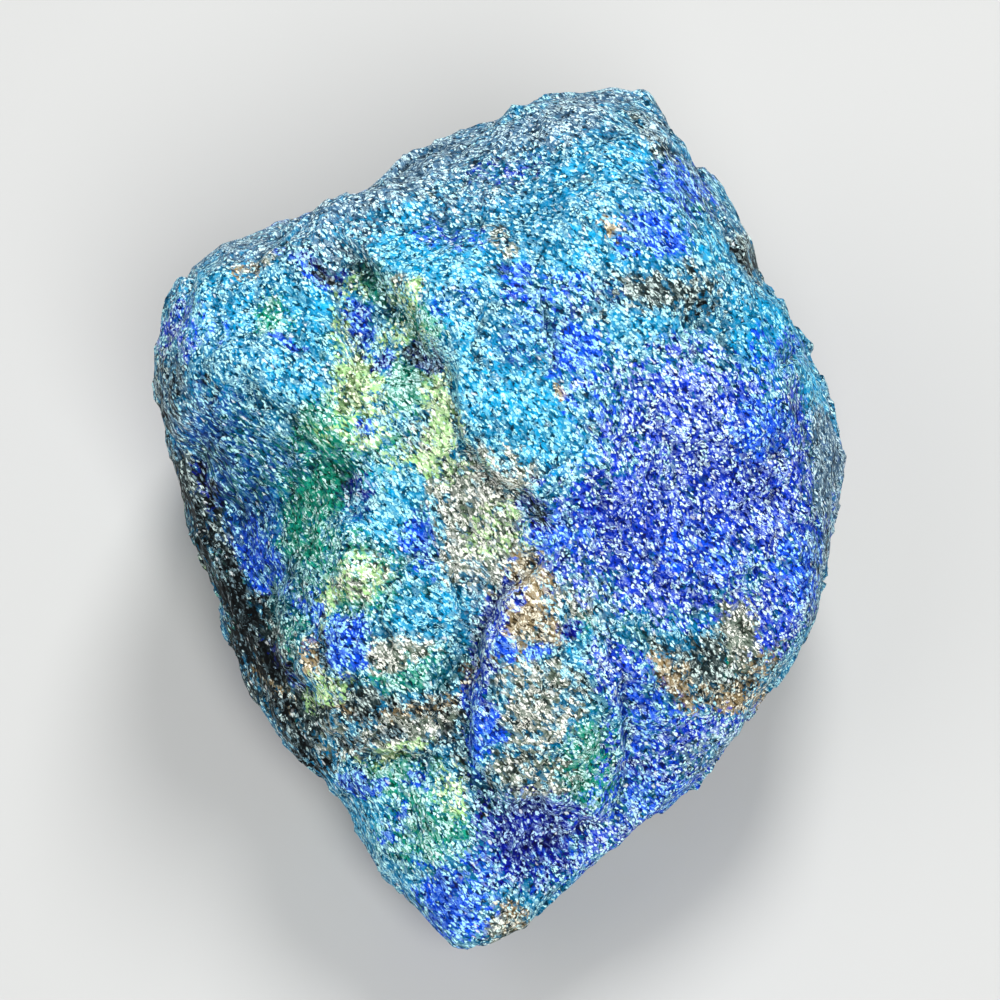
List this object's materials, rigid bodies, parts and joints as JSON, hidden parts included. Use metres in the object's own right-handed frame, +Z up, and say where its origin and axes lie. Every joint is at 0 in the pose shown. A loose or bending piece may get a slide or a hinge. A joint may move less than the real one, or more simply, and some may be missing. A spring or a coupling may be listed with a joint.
{
  "type": "rough malachite azurite stone",
  "caption": "Hand-size piece of rough mineral rock, blue and green with tan matrix, broken faces all round and a flat patch to rest on.",
  "frame": {"origin": "centre of the footprint's bounding box, on the surface that the stone lies on", "axes": "+Z up; the coloured front faces -Y and up; +Y toward the tall far end; +X to the right of the front"},
  "size_m": [0.0526, 0.0642, 0.0377],
  "materials": {
    "stone": "rough broken stone with a slight resin sheen"
  },
  "bodies": {
    "root": {"stone": "stone"}
  },
  "joints": []
}
